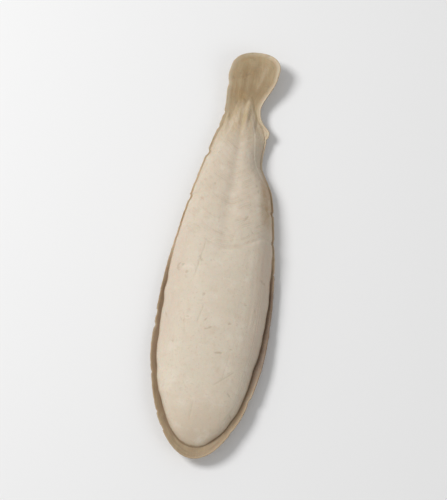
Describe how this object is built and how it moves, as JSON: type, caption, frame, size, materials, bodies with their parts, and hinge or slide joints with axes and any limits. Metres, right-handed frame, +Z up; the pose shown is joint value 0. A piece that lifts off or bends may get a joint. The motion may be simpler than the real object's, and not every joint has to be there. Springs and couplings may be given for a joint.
{
  "type": "cuttlebone",
  "caption": "Long cuttlebone lying chalk side up on its hard shield, with a narrow horny margin all round and a thin hollow lobe beyond a narrow waist at the tail.",
  "frame": {"origin": "on the surface that the bone lies on, under the middle of its outline", "axes": "+Z up, from the hard shield to the chalk; +Y along the bone, towards the tail lobe; +X across it, to the right as seen from above, where the margin is broken"},
  "size_m": [0.0482, 0.18, 0.0154],
  "materials": {
    "cuttlebone": "matte cream chalk in fine layers, with a tan, slightly waxy horny tail lobe and a brown horny edge"
  },
  "bodies": {
    "root": {"cuttlebone": "cuttlebone"}
  },
  "joints": []
}
